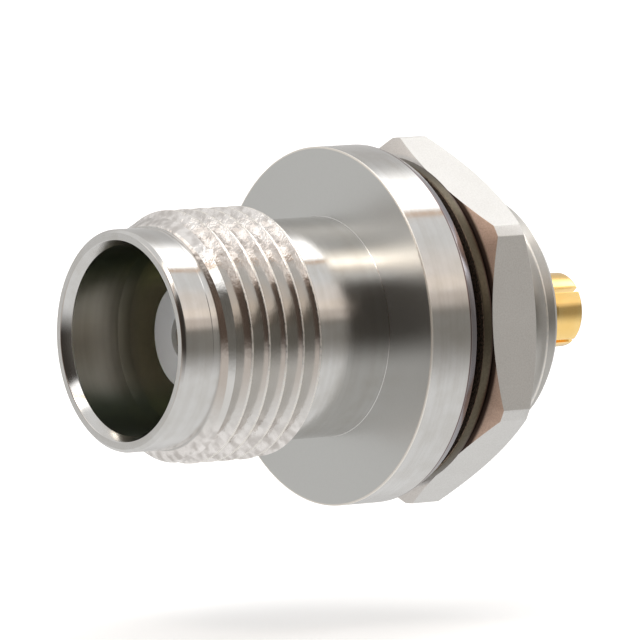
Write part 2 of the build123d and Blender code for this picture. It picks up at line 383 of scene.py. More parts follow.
BELT_FOOT_AT_FRONT = (-15.0, -4.0)


def rounded(corners):
    """Points round a closed section whose (radius, y, rounding) corners become arcs."""
    points = []
    for index, (radius, y, rounding) in enumerate(corners):
        here = Vector((radius, y))
        before = Vector(corners[index - 1][:2]) - here
        after = Vector(corners[(index + 1) % len(corners)][:2]) - here
        if rounding <= SHARP or min(before.length, after.length) < TINY:
            points.append(here)
            continue
        half_angle = before.angle(after) / 2
        room = SETBACK_SHARE * min(before.length, after.length)
        setback = min(rounding / math.tan(half_angle), room)
        start = here + before.normalized() * setback
        end = here + after.normalized() * setback
        for step in range(ARC_STEPS + 1):
            share = step / ARC_STEPS
            points.append(start * (1 - share) ** 2 + here * 2 * share * (1 - share) + end * share ** 2)
    return points


def new_piece(name, points, faces):
    """A mesh object from points in millimetres."""
    mesh = bpy.data.meshes.new(name)
    mesh.from_pydata([(x * MM, y * MM, z * MM) for x, y, z in points], [], faces)
    mesh.validate()
    piece = bpy.data.objects.new(name, mesh)
    bpy.context.scene.collection.objects.link(piece)
    return piece


def turned(name, corners, segments=SEGMENTS):
    """A solid turned about the axis from (radius, y, rounding) corners in order round its section."""
    points, rings = [], []
    for radius, y in rounded(corners):
        start = len(points)
        if radius < TINY:
            points.append((0, y, 0))
            rings.append([start] * segments)
            continue
        for index in range(segments):
            angle = 2 * math.pi * index / segments
            points.append((radius * math.cos(angle), y, radius * math.sin(angle)))
        rings.append(list(range(start, start + segments)))
    faces = []
    for ring, following in zip(rings, rings[1:] + rings[:1]):
        for index in range(segments):
            after = (index + 1) % segments
            quad = (ring[index], following[index], following[after], ring[after])
            loop = list(dict.fromkeys(quad))
            if len(loop) > 2:
                faces.append(loop)
    piece = new_piece(name, points, faces)
    face_outwards(piece)
    return piece


def face_outwards(piece):
    """Turns the mesh's faces outwards."""
    work = bmesh.new()
    work.from_mesh(piece.data)
    bmesh.ops.recalc_face_normals(work, faces=work.faces)
    work.to_mesh(piece.data)
    work.free()


def settle(piece):
    """Turns the piece's modifiers into its mesh."""
    graph = bpy.context.evaluated_depsgraph_get()
    mesh = bpy.data.meshes.new_from_object(piece.evaluated_get(graph))
    piece.modifiers.clear()
    piece.data = mesh


def combine(piece, tool, operation):
    """Cuts the piece with the tool, or keeps what both fill, and deletes the tool."""
    cut = piece.modifiers.new("cut", "BOOLEAN")
    cut.operation = operation
    cut.solver = "EXACT"
    cut.object = tool
    settle(piece)
    bpy.data.objects.remove(tool)


def helical(section, first_angle, first_y, turns):
    """A ridge of (radius, y) section wound right-handed about the axis, closed at both ends."""
    steps = round(turns * SEGMENTS)
    points, faces = [], []
    for step in range(steps + 1):
        angle = first_angle - 2 * math.pi * step / SEGMENTS
        y = first_y + THREAD_PITCH * step / SEGMENTS
        points += [(r * math.cos(angle), y + dy, r * math.sin(angle)) for r, dy in section]
    count = len(section)
    for step in range(steps):
        for side in range(count):
            after = (side + 1) % count
            here = step * count
            faces.append([here + side, here + after, here + count + after, here + count + side])
    faces.append(list(range(count)))
    faces.append([steps * count + side for side in reversed(range(count))])
    ridge = new_piece("ridge", points, faces)
    face_outwards(ridge)
    return ridge


def flank_slope():
    """How far a flank runs along the axis for each millimetre of radius."""
    return math.tan(math.radians(THREAD_FLANK_DEG))


def groove_flank():
    """(radius, y) corners of the thread groove's rear flank, from its root out past the rounded crest."""
    half_root = THREAD_ROOT_FLAT / 2
    half_crest = half_root + (THREAD_DEPTH - CREST_ROUNDING) * flank_slope()
    arc = [(THREAD_R - below * CREST_ROUNDING, half_crest + past * CREST_ROUNDING)
           for below, past in CREST_ARC]
    outside = (THREAD_R + CUTTER_OVERSHOOT, half_crest + CREST_FLARE * CREST_ROUNDING)
    return [(THREAD_R - THREAD_DEPTH, half_root), *arc, outside]


def thread_cutter(start_y, end_y, crest_y):
    """A helical ridge that fills the thread's groove; a crest crosses the +X side at crest_y."""
    flank = groove_flank()
    section = [(r, -dy) for r, dy in flank[::-1]] + flank
    turns_before = math.ceil((crest_y - start_y) / THREAD_PITCH) + 1
    first_y = crest_y - (turns_before + 0.5) * THREAD_PITCH
    return helical(section, 0, first_y, math.ceil((end_y - first_y) / THREAD_PITCH) + 1)


def lead_cutter(crest_y):
    """Clears what stands in front of the first groove, so that the nose runs up to a full first flank."""
    inner_r = THREAD_R - THREAD_DEPTH + LEAD_ROOT_GAP
    outer_r = THREAD_R + CUTTER_OVERSHOOT
    section = [
        (outer_r, -LEAD_CLEARED),
        (inner_r, -LEAD_CLEARED),
        (inner_r, LEAD_FLANK_SHIFT),
        (outer_r, LEAD_FLANK_SHIFT + (outer_r - inner_r) * flank_slope()),
    ]
    first_y = crest_y - (0.5 + LEAD_BEFORE) * THREAD_PITCH
    return helical(section, 2 * math.pi * LEAD_BEFORE, first_y, LEAD_BEFORE + LEAD_AFTER)


def blades(count, width, reach_r, start_y, end_y, turn_deg):
    """Radial saw blades round the axis, each from near the axis out to reach_r."""
    points, faces = [], []
    for index in range(count):
        angle = math.radians(turn_deg + index * 360 / count)
        along = Vector((math.cos(angle), math.sin(angle)))
        across = Vector((-along.y, along.x)) * width / 2
        base = len(points)
        for y in (start_y, end_y):
            for distance, side in ((BLADE_INNER_R, -1), (reach_r, -1), (reach_r, 1), (BLADE_INNER_R, 1)):
                spot = along * distance + across * side
                points.append((spot.x, y, spot.y))
        quads = [(0, 1, 2, 3), (7, 6, 5, 4), (0, 4, 5, 1), (1, 5, 6, 2), (2, 6, 7, 3), (3, 7, 4, 0)]
        faces += [[base + corner for corner in quad] for quad in quads]
    tool = new_piece("blades", points, faces)
    face_outwards(tool)
    return tool


def soften(piece):
    """Rounds the sharp edges that a cut leaves."""
    bevel = piece.modifiers.new("bevel", "BEVEL")
    bevel.width = CUT_BEVEL * MM
    bevel.segments = 2
    bevel.limit_method = "ANGLE"
    bevel.angle_limit = math.radians(SMOOTH_DEG)
    settle(piece)


def finish_piece(piece, body, node, material):
    """Smooth shading that respects sharp edges, a material, and the piece's place in the frame."""
    piece.data.shade_smooth()
    piece.data.set_sharp_from_angle(angle=math.radians(SMOOTH_DEG))
    weighted = piece.modifiers.new("normals", "WEIGHTED_NORMAL")
    weighted.keep_sharp = True
    weighted.mode = "FACE_AREA"
    settle(piece)
    piece.data.materials.clear()
    piece.data.materials.append(material)
    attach(piece, body)
    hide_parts(node)


class Nodes:
    """A short way to write a node tree."""

    def __init__(self, tree):
        self.tree = tree
        tree.nodes.clear()

    def plug(self, socket, value):
        """Links a socket to another node's output, or sets it to a plain value."""
        if isinstance(value, bpy.types.NodeSocket):
            self.tree.links.new(value, socket)
        else:
            socket.default_value = value

    def add(self, kind, *values, settings=(), **named):
        """A node with values for its first sockets in their order, and for others by name."""
        node = self.tree.nodes.new(kind)
        for key, value in dict(settings).items():
            setattr(node, key, value)
        for socket, value in zip(node.inputs, values):
            self.plug(socket, value)
        for name, value in named.items():
            self.plug(node.inputs[name.replace("_", " ")], value)
        return node

    def math(self, operation, *values):
        return self.add("ShaderNodeMath", *values, settings={"operation": operation}).outputs[0]

    def times(self, first, second):
        return self.math("MULTIPLY", first, second)

    def plus(self, first, second):
        return self.math("ADD", first, second)

    def minus(self, first, second):
        return self.math("SUBTRACT", first, second)

    def over(self, first, second):
        return self.math("DIVIDE", first, second)

    def split(self, vector):
        """The x, y and z of a vector."""
        return self.add("ShaderNodeSeparateXYZ", vector).outputs

    def ramp(self, value, low, high, to_low=0.0, to_high=1.0):
        """A smooth step from one number to another."""
        return self.add("ShaderNodeMapRange", value, low, high, to_low, to_high,
                        settings={"interpolation_type": "SMOOTHSTEP"}).outputs[0]

    def fall(self, value, low, high):
        """A smooth step from 1 down to 0."""
        return self.ramp(value, low, high, 1.0, 0.0)

    def band(self, value, low, high, low_edge, high_edge):
        """1 between low and high and 0 outside, with edges of half widths low_edge and high_edge."""
        rise = self.ramp(self.over(self.minus(value, low), low_edge), -1.0, 1.0)
        return self.times(rise, self.fall(self.over(self.minus(value, high), high_edge), -1.0, 1.0))

    def cap(self, direction, towards, full_deg, gone_deg):
        """1 within full_deg of a direction and 0 beyond gone_deg."""
        share = self.add("ShaderNodeVectorMath", direction, Vector(towards).normalized(),
                         settings={"operation": "DOT_PRODUCT"}).outputs["Value"]
        return self.ramp(share, math.cos(math.radians(gone_deg)), math.cos(math.radians(full_deg)))

    def noise(self, vector, scale, detail, roughness=0.5):
        return self.add("ShaderNodeTexNoise", Vector=vector, Scale=scale, Detail=detail,
                        Roughness=roughness).outputs["Fac"]

    def blend(self, factor, first, second):
        """One number turned into another by a factor."""
        node = self.add("ShaderNodeMix", factor)
        self.plug(node.inputs[2], first)
        self.plug(node.inputs[3], second)
        return node.outputs[0]

    def mix(self, factor, first, second, how="MIX"):
        """One colour turned into another, or multiplied by it, by a factor."""
        node = self.add("ShaderNodeMix", factor, settings={"data_type": "RGBA", "blend_type": how})
        self.plug(node.inputs[6], first)
        self.plug(node.inputs[7], second)
        return node.outputs[2]

    def surface(self, colour, roughness, relief, relief_mm, **named):
        """The material's surface, with its relief as a bump that is relief_mm high where the relief is 1."""
        bump = self.add("ShaderNodeBump", Strength=1.0, Distance=relief_mm * MM, Height=relief)
        shader = self.add("ShaderNodeBsdfPrincipled", Base_Color=colour, Roughness=roughness,
                          Normal=bump.outputs[0], **named)
        self.add("ShaderNodeOutputMaterial", Surface=shader.outputs[0])

    def turned_surface(self, colour, roughness, relief, relief_mm, anisotropy):
        """Metal whose gloss is drawn out across its turning marks."""
        tangent = self.add("ShaderNodeTangent", settings={"direction_type": "RADIAL", "axis": "Y"})
        self.surface(colour, roughness, relief, relief_mm, Metallic=1.0, Anisotropic=anisotropy,
                     Anisotropic_Rotation=TANGENT_TURN, Tangent=tangent.outputs[0])


def new_material(name):
    """A material and its empty node tree."""
    material = bpy.data.materials.new(name)
    material.use_nodes = True
    return material, Nodes(material.node_tree)


def place_in_mm(nodes):
    """The position on the part in millimetres."""
    place = nodes.add("ShaderNodeTexCoord").outputs["Object"]
    return nodes.add("ShaderNodeVectorMath", place, settings={"operation": "SCALE"}, Scale=1 / MM).outputs[0]


def from_axis(nodes, place):
    """Distance from the axis."""
    x, _, z = nodes.split(place)
    return nodes.math("SQRT", nodes.plus(nodes.times(x, x), nodes.times(z, z)))


def turning_marks(nodes, place, radius):
    """A vector whose noise runs round the axis in rings, as turning marks do."""
    x, y, z = nodes.split(place)
    safe = nodes.math("MAXIMUM", radius, MARKS_INNER_R)
    return nodes.add("ShaderNodeCombineXYZ", nodes.plus(y, nodes.times(radius, MARKS_SHIFT)),
                     nodes.times(nodes.over(x, safe), MARKS_VARIATION),
                     nodes.times(nodes.over(z, safe), MARKS_VARIATION)).outputs[0]


def turned_metal(name, colour, tint, roughness, spread, marks_height, anisotropy):
    """Lathe-turned metal: fine rings round the axis, soft blotches in its gloss, and faint stains."""
    material, nodes = new_material(name)
    place = place_in_mm(nodes)
    marks = turning_marks(nodes, place, from_axis(nodes, place))
    rings = nodes.noise(marks, scale=14.0, detail=4.0, roughness=0.65)
    coarse = nodes.noise(marks, scale=3.0, detail=2.0)
    blotches = nodes.noise(place, scale=0.9, detail=3.0)
    gloss = nodes.blend(0.5, rings, blotches)
    rough = nodes.ramp(gloss, *EVEN_NOISE, roughness - spread, roughness + spread)
    shade = nodes.mix(nodes.ramp(blotches, *BLOTCH_NOISE), colour, tint)
    relief = nodes.plus(rings, nodes.times(coarse, COARSE_RELIEF))
    nodes.turned_surface(shade, rough, relief, marks_height, anisotropy)
    return material


def body_zones(nodes, radius, along):
    """Where the body is ground flange face, thread of the jack, bushing and bore, each from 0 to 1."""
    normal = nodes.add("ShaderNodeNewGeometry").outputs["True Normal"]
    facing = nodes.math("ABSOLUTE", nodes.split(normal)[1])
    face = nodes.times(nodes.ramp(facing, *FACE_FACING), nodes.ramp(along, *FACE_BLEND_Y))
    thread = nodes.times(nodes.ramp(radius, *THREAD_BLEND_R), nodes.fall(along, *THREAD_END_BLEND_Y))
    bushing = nodes.ramp(along, *BUSHING_BLEND_Y)
    inside = nodes.times(nodes.fall(radius, *BORE_BLEND_R), nodes.ramp(along, *BORE_MOUTH_BLEND_Y))
    return face, thread, bushing, nodes.times(inside, nodes.fall(along, *BORE_END_BLEND_Y))


def bore_skin_and_painted_shading(nodes, shade, inside, coarse, along, sides):
    """Olive skin in the bore, with painted shade on its cone, painted light in its depth, and painted shade
    at its top and bottom.
    """
    skin_and_shade_tone = nodes.mix(nodes.ramp(coarse, *EVEN_NOISE), BORE_LIGHT, BORE_DARK)
    deep = nodes.ramp(along, *BORE_DEEP_BLEND_Y)
    cone = nodes.band(along, ENTRY_END_Y, ENTRY_END_Y + BORE_CONE_LENGTH, BORE_CONE_EDGE, BORE_CONE_EDGE)
    shaded = nodes.ramp(sides, *BORE_SHADE_BLEND_Z, 0.0, BORE_SHADE_STRENGTH)
    shade = nodes.mix(inside, shade, skin_and_shade_tone)
    # Painted light in the depth, painted shade on the cone and at the top and bottom
    for mask, colour in ((deep, BORE_DEPTH_PAINTED_LIGHT), (cone, BORE_CONE_PAINTED_SHADE), (shaded, BORE_SHADE)):
        shade = nodes.mix(nodes.times(inside, mask), shade, colour)
    return shade


def torn_thread_and_glints(nodes, shade, thread, place, sides):
    """Torn patches on the turns, most at the top and bottom: partly real torn machining, partly painted
    glints and shade where the turns catch the light.
    """
    torn_and_glints = nodes.times(thread, nodes.ramp(sides, *TORN_AND_GLINT_BLEND_Z, 0.0, TORN_AND_GLINT_STRENGTH))
    patches = nodes.noise(place, scale=2.2, detail=1.0, roughness=0.4)
    return nodes.mix(torn_and_glints, shade, nodes.mix(nodes.ramp(patches, *PATCH_NOISE), TORN_AND_GLINT_DARK, TORN_AND_GLINT_LIGHT))


def worn_and_highlit_edges(nodes, place, radius, along):
    """Crests of the threads and the flange's front edge, where handling has worn them, lightened partly as a
    painted highlight for the light they catch.
    """
    crest = nodes.band(radius, *CREST_BAND_R, *CREST_BAND_EDGES)
    from_flange = nodes.math("ABSOLUTE", nodes.plus(along, FLANGE_THICKNESS / 2))
    crest = nodes.times(crest, nodes.ramp(from_flange, *OFF_FLANGE_BLEND_Y))
    wear_and_highlight = nodes.ramp(nodes.noise(place, scale=6.0, detail=2.0), *WEAR_AND_HIGHLIGHT_NOISE, LEAST_WEAR_AND_HIGHLIGHT, 1.0)
    front_edge = nodes.times(nodes.ramp(radius, *FRONT_EDGE_BLEND_R), nodes.fall(along, *FRONT_EDGE_BLEND_Y))
    return nodes.math("MAXIMUM", nodes.times(crest, wear_and_highlight), front_edge)


def painted_bevel_shade(nodes, shade, radius, along):
    """Painted shade on the bevel behind the flange, with a darker painted line of shade in front of it."""
    at_rim = nodes.ramp(radius, *BEVEL_BLEND_R)
    line = nodes.band(along, *BEVEL_LINE_Y, BEVEL_LINE_EDGE, BEVEL_LINE_EDGE)
    shade = nodes.mix(nodes.times(at_rim, nodes.ramp(along, *BEVEL_BLEND_Y)), shade, BEVEL_PAINTED_SHADE)
    return nodes.mix(nodes.times(at_rim, line), shade, BEVEL_LINE_PAINTED_SHADE)


def body_metal():
    """The body's steel: bright turned outside, ground flange face, matt bushing, olive skin in the bore."""
    material, nodes = new_material("turned_steel")
    place = place_in_mm(nodes)
    radius = from_axis(nodes, place)
    along, up = nodes.split(place)[1:]
    sides = nodes.math("ABSOLUTE", up)
    face, thread, bushing, inside = body_zones(nodes, radius, along)

    marks = turning_marks(nodes, place, radius)
    rings = nodes.noise(marks, scale=16.0, detail=5.0, roughness=0.7)
    coarse = nodes.noise(marks, scale=2.5, detail=2.0)
    scratches = nodes.noise(marks, scale=60.0, detail=2.0, roughness=0.6)
    blotches = nodes.noise(place, scale=1.1, detail=3.0)
    grain = nodes.noise(place, scale=14.0, detail=3.0, roughness=0.7)
    burrs = nodes.noise(place, scale=3.2, detail=2.0, roughness=0.6)
    worn_and_highlit = worn_and_highlit_edges(nodes, place, radius, along)

    rough = nodes.ramp(nodes.blend(CLOUD_SHARE, rings, blotches), *EVEN_NOISE,
                       BODY_ROUGHNESS - ROUGHNESS_SPREAD, BODY_ROUGHNESS + ROUGHNESS_SPREAD)
    for mask, value in ((face, FACE_ROUGHNESS), (thread, THREAD_ROUGHNESS), (bushing, BUSHING_ROUGHNESS),
                        (inside, BORE_ROUGHNESS), (worn_and_highlit, WORN_ROUGHNESS)):
        rough = nodes.blend(mask, rough, value)

    shade = nodes.mix(nodes.ramp(blotches, *BLOTCH_NOISE), STEEL, STEEL_STAIN)
    shade = nodes.mix(nodes.ramp(coarse, *STREAK_NOISE, 0.0, STREAK_STRENGTH), shade, STEEL_STREAK)
    # Painted light on the thread
    shade = nodes.mix(nodes.times(thread, THREAD_PAINTED_LIGHT_STRENGTH), shade, THREAD_PAINTED_LIGHT)
    shade = nodes.mix(face, shade, nodes.mix(grain, FACE_LIGHT, FACE_DARK))
    shade = nodes.mix(bushing, shade, nodes.mix(grain, NUT_LIGHT, NUT_DARK))
    # Olive skin in the bore, with painted light and shade
    shade = bore_skin_and_painted_shading(nodes, shade, inside, coarse, along, sides)
    # Torn patches, partly painted glints, at the thread's top and bottom
    shade = torn_thread_and_glints(nodes, shade, thread, place, sides)
    # Worn crests and flange edge, lighter partly from wear and partly as a painted highlight
    shade = nodes.mix(worn_and_highlit, shade, WORN_AND_HIGHLIT_EDGE)
    # Painted shade on the flange's rear bevel
    shade = painted_bevel_shade(nodes, shade, radius, along)

    relief = nodes.plus(rings, nodes.times(coarse, COARSE_RELIEF))
    relief = nodes.plus(relief, nodes.times(scratches, SCRATCH_RELIEF))
    even = nodes.math("MAXIMUM", face, nodes.times(bushing, BUSHING_EVENNESS))
    relief = nodes.times(nodes.blend(even, relief, grain), nodes.blend(inside, 1.0, BORE_RELIEF))
    torn_height = nodes.times(thread, nodes.ramp(sides, *TORN_RELIEF_BLEND_Z, *TORN_RELIEF))
    relief = nodes.plus(relief, nodes.times(burrs, torn_height))
    nodes.turned_surface(shade, rough, relief, BODY_RELIEF_MM, BODY_ANISOTROPY)
    return material


def tumbled_metal(name, colour, tint, skin_and_shade_tone, roughness, grain_size, grain_height, joint_shade_r=None, joint_shade_y=None):
    """Matt metal with the fine even grain of a tumbled part, and a browner skin on its front faces that is
    partly painted shade.

    Painted shade, for the gap where nut and washer meet, lies on the front faces within the given radius,
    and all round behind the given y, where these are given.
    """
    material, nodes = new_material(name)
    place = place_in_mm(nodes)
    along, up = nodes.split(place)[1:]
    grain = nodes.noise(place, scale=1 / grain_size, detail=3.0, roughness=0.7)
    clouds = nodes.noise(place, scale=0.7, detail=3.0)
    speckle = nodes.ramp(grain, *EVEN_NOISE)
    shade = nodes.mix(nodes.blend(CLOUD_SHARE, speckle, clouds), colour, tint)

    normal = nodes.add("ShaderNodeNewGeometry").outputs["True Normal"]
    # Browner skin on the front faces, partly painted shade, less of it towards the top and bottom
    skin_and_shade = nodes.fall(nodes.split(normal)[1], *SKIN_AND_SHADE_FACING)
    skin_and_shade = nodes.times(skin_and_shade, nodes.ramp(nodes.math("ABSOLUTE", up), *SKIN_AND_SHADE_BLEND_Z, 1.0, SKIN_AND_SHADE_AT_TOP))
    skin_and_shade_colour = nodes.mix(speckle, skin_and_shade_tone, SKIN_AND_SHADE_DARK)
    # Painted shade on the front faces, inside the washer's rim
    if joint_shade_r is not None:
        near = nodes.fall(from_axis(nodes, place), joint_shade_r + JOINT_SHADE_BLEND_R[0], joint_shade_r + JOINT_SHADE_BLEND_R[1])
        skin_and_shade_colour = nodes.mix(near, skin_and_shade_colour, JOINT_PAINTED_SHADE)
    shade = nodes.mix(skin_and_shade, shade, skin_and_shade_colour)
    # Painted shade along the washer's rear, where the nut meets it
    if joint_shade_y is not None:
        shade = nodes.mix(nodes.ramp(along, joint_shade_y, joint_shade_y + JOINT_SHADE_BLEND_Y), shade, JOINT_PAINTED_SHADE)

    rough = nodes.ramp(grain, *EVEN_NOISE, roughness - ROUGHNESS_SPREAD, roughness + ROUGHNESS_SPREAD)
    nodes.surface(shade, rough, grain, grain_height, Metallic=1.0)
    return material


def plain_material(name, colour, tint, roughness, grain_size, grain_height):
    """Plastic or rubber with faint clouds and grain."""
    material, nodes = new_material(name)
    place = place_in_mm(nodes)
    grain = nodes.noise(place, scale=1 / grain_size, detail=3.0, roughness=0.6)
    clouds = nodes.noise(place, scale=0.8, detail=2.0)
    rough = nodes.ramp(grain, *EVEN_NOISE, roughness - PLAIN_SPREAD, roughness + PLAIN_SPREAD)
    nodes.surface(nodes.mix(clouds, colour, tint), rough, grain, grain_height)
    return material


def make_body(material):
    """Nose, coupling thread, neck, flange with seal groove and threaded bushing, one bar of steel."""
    thread_start = JACK_CREST_START_Y - JACK_THREAD_LEAD_Y
    thread_end = JACK_CREST_END_Y + JACK_THREAD_REAR_Y
    root_r = THREAD_R - THREAD_DEPTH
    undercut_r = root_r - UNDERCUT_DEPTH
    inner_bore_r = INSULATOR_ROOT_R + FIT_GAP
    rear_bore_r = BUSH_R + FIT_GAP
    piece = turned("body_turned", [
        (NOSE_R - NOSE_BEVEL, MOUTH_Y, NOSE_ROUNDING),
        (NOSE_R, MOUTH_Y + NOSE_BEVEL, NOSE_ROUNDING),
        (NOSE_R, thread_start, SHARP),
        (THREAD_R, JACK_CREST_START_Y, THREAD_START_ROUNDING),
        (THREAD_R, JACK_CREST_END_Y, CRISP),
        (NOSE_R, thread_end, BROKEN),
        (NOSE_R, -FLANGE_THICKNESS - NECK_FILLET, SHARP),
        (NOSE_R + NECK_FILLET, -FLANGE_THICKNESS, SHARP),
        (FLANGE_R, -FLANGE_THICKNESS, ROUND),
        (FLANGE_R, -FLANGE_REAR_BEVEL_Y, FLANGE_BEVEL_ROUNDING),
        (FLANGE_R - FLANGE_REAR_BEVEL_R, 0, BROKEN),
        (SEAL_GROOVE_R, 0, BROKEN),
        (SEAL_GROOVE_R, -SEAL_GROOVE_DEPTH, SOFT),
        (undercut_r, -SEAL_GROOVE_DEPTH, SOFT),
        (undercut_r, UNDERCUT_END_Y, BROKEN),
        (THREAD_R, UNDERCUT_END_Y + THREAD_DEPTH, BROKEN),
        (THREAD_R, BUSHING_END_Y - THREAD_DEPTH, BROKEN),
        (root_r, BUSHING_END_Y, EASED),
        (rear_bore_r, BUSHING_END_Y, ROUND),
        (rear_bore_r, REAR_BORE_START_Y, BROKEN),
        (inner_bore_r, REAR_BORE_START_Y, BROKEN),
        (inner_bore_r, CONTACT_PLANE_Y, EASED),
        (BORE_R, CONTACT_PLANE_Y, SOFT),
        (BORE_R, ENTRY_END_Y + BORE_CONE_LENGTH, CRISP),
        (ENTRY_R, ENTRY_END_Y, CRISP),
        (ENTRY_R, ENTRY_START_Y, BROKEN),
        (LIP_R, MOUTH_Y, NOSE_ROUNDING),
    ])
    combine(piece, lead_cutter(JACK_CREST_Y), "DIFFERENCE")
    combine(piece, thread_cutter(thread_start, thread_end, JACK_CREST_Y), "DIFFERENCE")
    combine(piece, thread_cutter(UNDERCUT_END_Y, BUSHING_END_Y, BUSHING_CREST_Y), "DIFFERENCE")
    finish_piece(piece, "shell", "connector_body", material)


def make_front_insulator(material):
    """White insulator of the jack, with a pocket behind for the socket's collar."""
    hole_r = SOCKET_R + FIT_GAP
    pocket_y = REAR_BORE_START_Y - SOCKET_COLLAR_LENGTH
    pocket_r = SOCKET_COLLAR_R + FIT_GAP
    piece = turned("jack_insulator", [
        (hole_r, DIELECTRIC_FACE_Y, EASED),
        (DIELECTRIC_R, DIELECTRIC_FACE_Y, BLUNT),
        (DIELECTRIC_R, CONTACT_PLANE_Y, BROKEN),
        (INSULATOR_ROOT_R, CONTACT_PLANE_Y, SOFT),
        (INSULATOR_ROOT_R, REAR_BORE_START_Y, SOFT),
        (pocket_r, REAR_BORE_START_Y, CRISP),
        (pocket_r, pocket_y, CRISP),
        (hole_r, pocket_y, CRISP),
    ])
    finish_piece(piece, "shell", "front_insulator", material)


def make_socket(material):
    """Slotted socket contact, with the pin's hole in its rear."""
    collar_y = SOCKET_REAR_Y - SOCKET_COLLAR_LENGTH
    hole_end_y = SOCKET_FRONT_Y + SOCKET_HOLE_DEPTH
    piece = turned("jack_socket", [
        (SOCKET_HOLE_R, SOCKET_FRONT_Y, ROUND),
        (SOCKET_R, SOCKET_FRONT_Y, SOCKET_TIP_ROUNDING),
        (SOCKET_R, collar_y, CRISP),
        (SOCKET_COLLAR_R, collar_y, EASED),
        (SOCKET_COLLAR_R, SOCKET_REAR_Y, EASED),
        (PIN_R, SOCKET_REAR_Y, CRISP),
        (PIN_R, PIN_START_Y, SHARP),
        (0, PIN_START_Y, SHARP),
        (0, hole_end_y, SHARP),
        (SOCKET_HOLE_R, hole_end_y, EASED),
    ], FINE_SEGMENTS)
    slot_end = SOCKET_FRONT_Y + SOCKET_SLOT_LENGTH
    tool = blades(SLOT_COUNT, SOCKET_SLOT_WIDTH, 2 * SOCKET_R, SOCKET_FRONT_Y - CUT_PAST, slot_end,
                  SOCKET_SLOT_TURN_DEG)
    combine(piece, tool, "DIFFERENCE")
    finish_piece(piece, "shell", "socket_contact", material)


def make_pin(material):
    """Centre pin of the plug, pressed into the socket contact."""
    piece = turned("plug_pin", [
        (0, PIN_START_Y, SHARP),
        (PIN_R, PIN_START_Y, CRISP),
        (PIN_R, PIN_END_Y - PIN_TAPER_LENGTH, SOFT),
        (PIN_R / 2, PIN_END_Y, ROUND),
        (0, PIN_END_Y, SHARP),
    ], FINE_SEGMENTS)
    finish_piece(piece, "shell", "pin_contact", material)


def make_bush(material):
    """Bush that holds both insulators and carries the plug's sleeve."""
    hole_r = REAR_INSULATOR_HEAD_R + FIT_GAP
    wall_end_y = BUSH_FRONT_Y + BUSH_FRONT_WALL
    piece = turned("plug_bush", [
        (hole_r, BUSH_FRONT_Y, CRISP),
        (BUSH_R, BUSH_FRONT_Y, SOFT),
        (BUSH_R, BUSH_REAR_Y - BUSH_BEVEL, EASED),
        (BUSH_R - BUSH_BEVEL, BUSH_REAR_Y, EASED),
        (BUSH_BORE_R, BUSH_REAR_Y, SOFT),
        (BUSH_BORE_R, wall_end_y, CRISP),
        (hole_r, wall_end_y, CRISP),
    ])
    finish_piece(piece, "shell", "transition_bush", material)


def make_rear_insulator(material):
    """White insulator of the plug: a head in the bush and a tube in the sleeve."""
    hole_r = PIN_R + FIT_GAP
    tube_r = PLUG_BORE_R - FIT_GAP
    head_end_y = REAR_INSULATOR_START_Y + BUSH_FRONT_WALL
    piece = turned("plug_insulator", [
        (hole_r, REAR_INSULATOR_START_Y, CRISP / 2),
        (REAR_INSULATOR_HEAD_R, REAR_INSULATOR_START_Y, EASED),
        (REAR_INSULATOR_HEAD_R, head_end_y, EASED),
        (tube_r, head_end_y, CRISP),
        (tube_r, REAR_INSULATOR_END_Y, ROUND),
        (hole_r, REAR_INSULATOR_END_Y, BROKEN),
    ], FINE_SEGMENTS)
    finish_piece(piece, "shell", "rear_insulator", material)


def make_plug_sleeve(material):
    """Slotted outer contact of the plug, with the ridge that snaps in."""
    ridge_slope_y = PLUG_RIDGE_START_Y - PLUG_RIDGE_SLOPE
    piece = turned("plug_sleeve", [
        (PLUG_BORE_R, PLUG_START_Y, CRISP),
        (PLUG_COLLAR_R, PLUG_START_Y, EASED),
        (PLUG_COLLAR_R, PLUG_COLLAR_END_Y, BLUNT),
        (PLUG_SLEEVE_R, PLUG_COLLAR_END_Y, EASED),
        (PLUG_SLEEVE_R, ridge_slope_y, SOFT),
        (PLUG_RIDGE_R, PLUG_RIDGE_START_Y, SOFT),
        (PLUG_RIDGE_R, PLUG_END_Y, PLUG_TIP_ROUNDING),
        (PLUG_BORE_R, PLUG_END_Y, ROUND),
    ], FINE_SEGMENTS)
    tool = blades(SLOT_COUNT, PLUG_SLOT_WIDTH, 2 * PLUG_RIDGE_R, PLUG_SLOT_START_Y, PLUG_END_Y + CUT_PAST,
                  PLUG_SLOT_TURN_DEG)
    combine(piece, tool, "DIFFERENCE")
    soften(piece)
    finish_piece(piece, "shell", "plug_outer_contact", material)


def make_seal(material):
    """Ring of round section, drawn as a closed circle of corners with no rounding."""
    radius = (SEAL_REAR_Y - SEAL_FRONT_Y) / 2
    ring_r = SEAL_R - radius
    middle_y = (SEAL_REAR_Y + SEAL_FRONT_Y) / 2
    section = []
    for step in range(SEAL_STEPS):
        angle = 2 * math.pi * step / SEAL_STEPS
        section.append((ring_r + radius * math.cos(angle), middle_y + radius * math.sin(angle), SHARP))
    finish_piece(turned("panel_o_ring", section), "shell", "panel_seal", material)


